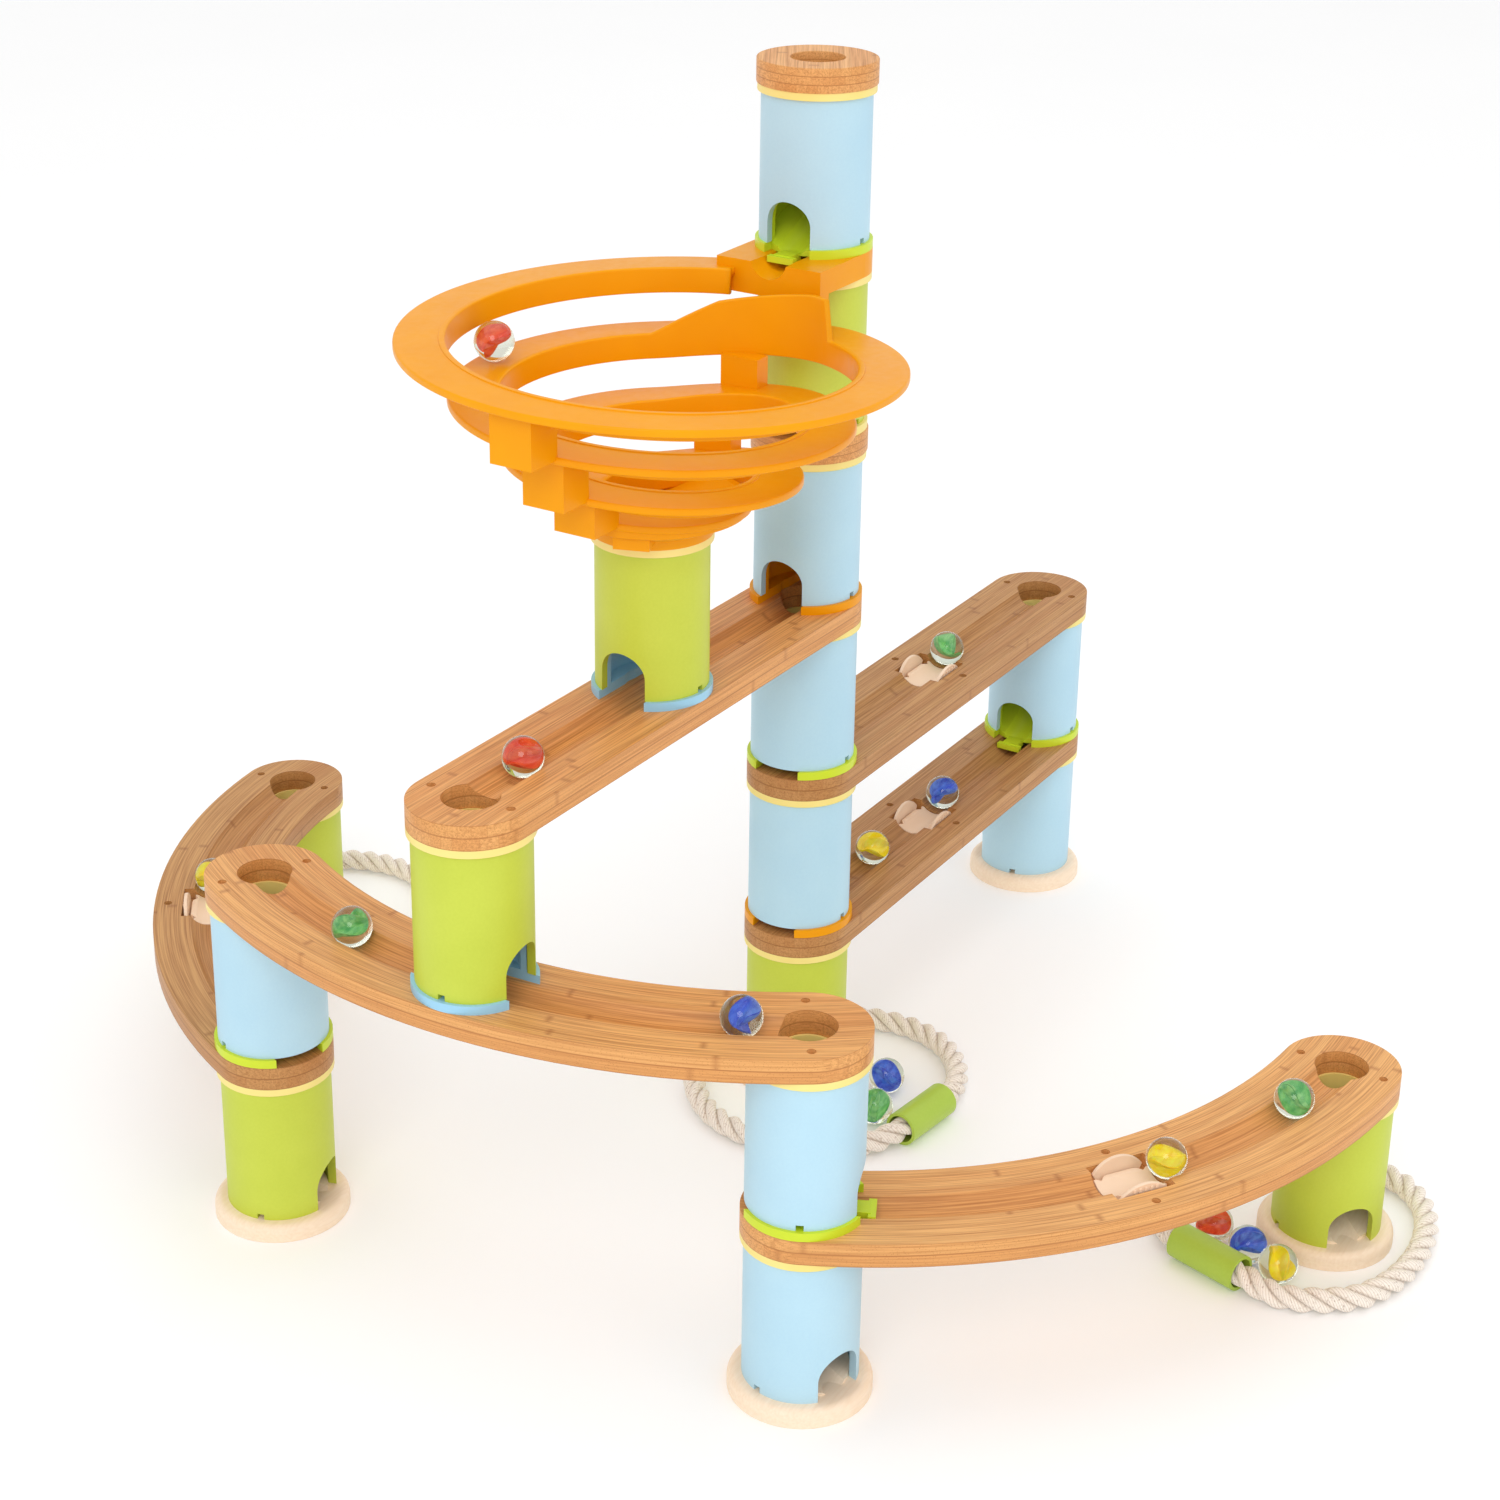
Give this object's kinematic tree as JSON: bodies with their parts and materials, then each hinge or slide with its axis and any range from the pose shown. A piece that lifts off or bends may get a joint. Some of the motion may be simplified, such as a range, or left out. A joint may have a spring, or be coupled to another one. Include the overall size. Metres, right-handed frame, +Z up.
{
  "type": "marble run",
  "caption": "Toy marble run of stacked painted tubes, bamboo tracks with end holes, tilting rockers, a spiral funnel, glass marbles and rope rings.",
  "frame": {"origin": "on the floor under the middle of the tall centre post's base disc", "axes": "+Z up; +X along the two straight tracks from the centre post to the back post; +Y towards the far left post"},
  "size_m": [0.5244, 0.623, 0.4632],
  "materials": {
    "green_paint": "satin lime-green paint on wood",
    "blue_paint": "satin pale-blue paint on wood",
    "bamboo": "clear-lacquered laminated bamboo",
    "pale_wood": "smooth pale wood",
    "cream_plastic": "smooth",
    "lime_plastic": "semi-gloss",
    "orange_plastic": "semi-gloss",
    "sky_plastic": "semi-gloss",
    "yellow_plastic": "smooth",
    "rope": "twisted cotton",
    "red_glass": "clear with a coloured vane",
    "green_glass": "clear with a coloured vane",
    "yellow_glass": "clear with a coloured vane",
    "blue_glass": "clear with a coloured vane"
  },
  "bodies": {
    "run": {"tube_centre_1": "green_paint", "tube_centre_2": "blue_paint", "tube_centre_3": "blue_paint", "tube_centre_4": "blue_paint", "tube_centre_5": "green_paint", "tube_centre_6": "blue_paint", "tube_back_1": "blue_paint", "tube_back_2": "blue_paint", "tube_left_1": "green_paint", "tube_left_2": "blue_paint", "tube_front_1": "blue_paint", "tube_front_2": "blue_paint", "tube_right_1": "green_paint", "tube_far_1": "green_paint", "tube_perch_low": "green_paint", "tube_perch_high": "green_paint", "base_discs": "pale_wood", "straight_top": "bamboo", "straight_middle": "bamboo", "straight_low": "bamboo", "curve_top": "bamboo", "curve_left": "bamboo", "curve_right": "bamboo", "disc_top": "bamboo", "disc_middle": "bamboo", "ramp_collars": "lime_plastic", "drop_collars": "orange_plastic", "through_collars": "sky_plastic", "disc_collar": "yellow_plastic", "socket_rings": "yellow_plastic", "funnel_band": "orange_plastic", "funnel_frame": "orange_plastic", "rocker_pins": "cream_plastic"},
    "ball_funnel": {"marble_funnel": "red_glass"},
    "ball_top": {"marble_top": "red_glass"},
    "ball_curve_green": {"marble_curve_green": "green_glass"},
    "ball_curve_blue": {"marble_curve_blue": "blue_glass"},
    "ball_left_yellow": {"marble_left_yellow": "yellow_glass"},
    "ball_middle_green": {"marble_middle_green": "green_glass"},
    "ball_low_blue": {"marble_low_blue": "blue_glass"},
    "ball_low_yellow": {"marble_low_yellow": "yellow_glass"},
    "ball_right_yellow": {"marble_right_yellow": "yellow_glass"},
    "ball_right_green": {"marble_right_green": "green_glass"},
    "ball_floor_red": {"marble_floor_red": "red_glass"},
    "ball_floor_blue": {"marble_floor_blue": "blue_glass"},
    "ball_floor_yellow": {"marble_floor_yellow": "yellow_glass"},
    "ball_floor_navy": {"marble_floor_navy": "blue_glass"},
    "ball_floor_green": {"marble_floor_green": "green_glass"},
    "tilt_middle": {"rocker_middle": "cream_plastic"},
    "tilt_low": {"rocker_low": "cream_plastic"},
    "tilt_left": {"rocker_left": "cream_plastic"},
    "tilt_right": {"rocker_right": "cream_plastic"},
    "ring_right": {"rope_right": "rope", "sleeve_right": "green_paint"},
    "ring_centre": {"rope_centre": "rope", "sleeve_centre": "green_paint"},
    "ring_back": {"rope_back": "rope", "sleeve_back": "green_paint"}
  },
  "joints": [
    {"name": "rocker_middle_tilt", "type": "hinge", "parent": "run", "child": "tilt_middle", "pos_m": [0.118, 0, 0.1498], "axis": [0, 1, 0], "range_deg": [-3, 8]},
    {"name": "rocker_low_tilt", "type": "hinge", "parent": "run", "child": "tilt_low", "pos_m": [0.118, 0, 0.0732], "axis": [0, 1, 0], "range_deg": [-3, 8]},
    {"name": "rocker_left_tilt", "type": "hinge", "parent": "run", "child": "tilt_left", "pos_m": [-0.13448, 0.22687, 0.0732], "axis": [0.617, -0.7869, 0], "range_deg": [-8, 3]},
    {"name": "rocker_right_tilt", "type": "hinge", "parent": "run", "child": "tilt_right", "pos_m": [-0.11258, -0.21256, 0.0732], "axis": [0.5519, 0.8339, 0], "range_deg": [-3, 8]},
    {"name": "marble_top_roll", "type": "slide", "parent": "run", "child": "ball_top", "axis": [-1, 0.0087, 0], "range_m": [-0.045, 0.008]},
    {"name": "marble_middle_green_roll", "type": "slide", "parent": "run", "child": "ball_middle_green", "axis": [1, 0, 0], "range_m": [0, 0.07]},
    {"name": "marble_low_blue_roll", "type": "slide", "parent": "run", "child": "ball_low_blue", "axis": [1, 0, 0], "range_m": [0, 0.06]},
    {"name": "marble_low_yellow_roll", "type": "slide", "parent": "run", "child": "ball_low_yellow", "axis": [1, 0, 0], "range_m": [-0.028, 0.02]},
    {"name": "marble_curve_green_roll", "type": "hinge", "parent": "run", "child": "ball_curve_green", "pos_m": [0.00361, 0.01588, 0.1601], "axis": [0, 0, 1], "range_deg": [-9, 5.5]},
    {"name": "marble_curve_blue_roll", "type": "hinge", "parent": "run", "child": "ball_curve_blue", "pos_m": [0.00361, 0.01588, 0.1601], "axis": [0, 0, 1], "range_deg": [-12, 0.5]},
    {"name": "marble_left_yellow_roll", "type": "hinge", "parent": "run", "child": "ball_left_yellow", "pos_m": [0.0136, 0.03801, 0.0835], "axis": [0, 0, 1], "range_deg": [-18, 0]},
    {"name": "marble_right_yellow_roll", "type": "hinge", "parent": "run", "child": "ball_right_yellow", "pos_m": [0.01988, -0.01243, 0.0835], "axis": [0, 0, 1], "range_deg": [0, 8]},
    {"name": "marble_right_green_roll", "type": "hinge", "parent": "run", "child": "ball_right_green", "pos_m": [0.01988, -0.01243, 0.0835], "axis": [0, 0, 1], "range_deg": [-4, 3]},
    {"name": "marble_funnel_roll", "type": "hinge", "parent": "run", "child": "ball_funnel", "pos_m": [-0.118, 0.00103, 0.36571], "axis": [-0.0344, -0.0042, 0.9994], "range_deg": [-8, 15]},
    {"name": "marble_floor_red_lift", "type": "slide", "parent": "run", "child": "ball_floor_red", "axis": [0, 0, 1], "range_m": [0, 0.03]},
    {"name": "marble_floor_blue_lift", "type": "slide", "parent": "run", "child": "ball_floor_blue", "axis": [0, 0, 1], "range_m": [0, 0.03]},
    {"name": "marble_floor_yellow_lift", "type": "slide", "parent": "run", "child": "ball_floor_yellow", "axis": [0, 0, 1], "range_m": [0, 0.03]},
    {"name": "marble_floor_navy_lift", "type": "slide", "parent": "run", "child": "ball_floor_navy", "axis": [0, 0, 1], "range_m": [0, 0.03]},
    {"name": "marble_floor_green_lift", "type": "slide", "parent": "run", "child": "ball_floor_green", "axis": [0, 0, 1], "range_m": [0, 0.03]},
    {"name": "ring_right_lift", "type": "slide", "parent": "run", "child": "ring_right", "axis": [0, 0, 1], "range_m": [0, 0.03]},
    {"name": "ring_centre_lift", "type": "slide", "parent": "run", "child": "ring_centre", "axis": [0, 0, 1], "range_m": [0, 0.03]},
    {"name": "ring_back_lift", "type": "slide", "parent": "run", "child": "ring_back", "axis": [0, 0, 1], "range_m": [0, 0.03]}
  ]
}
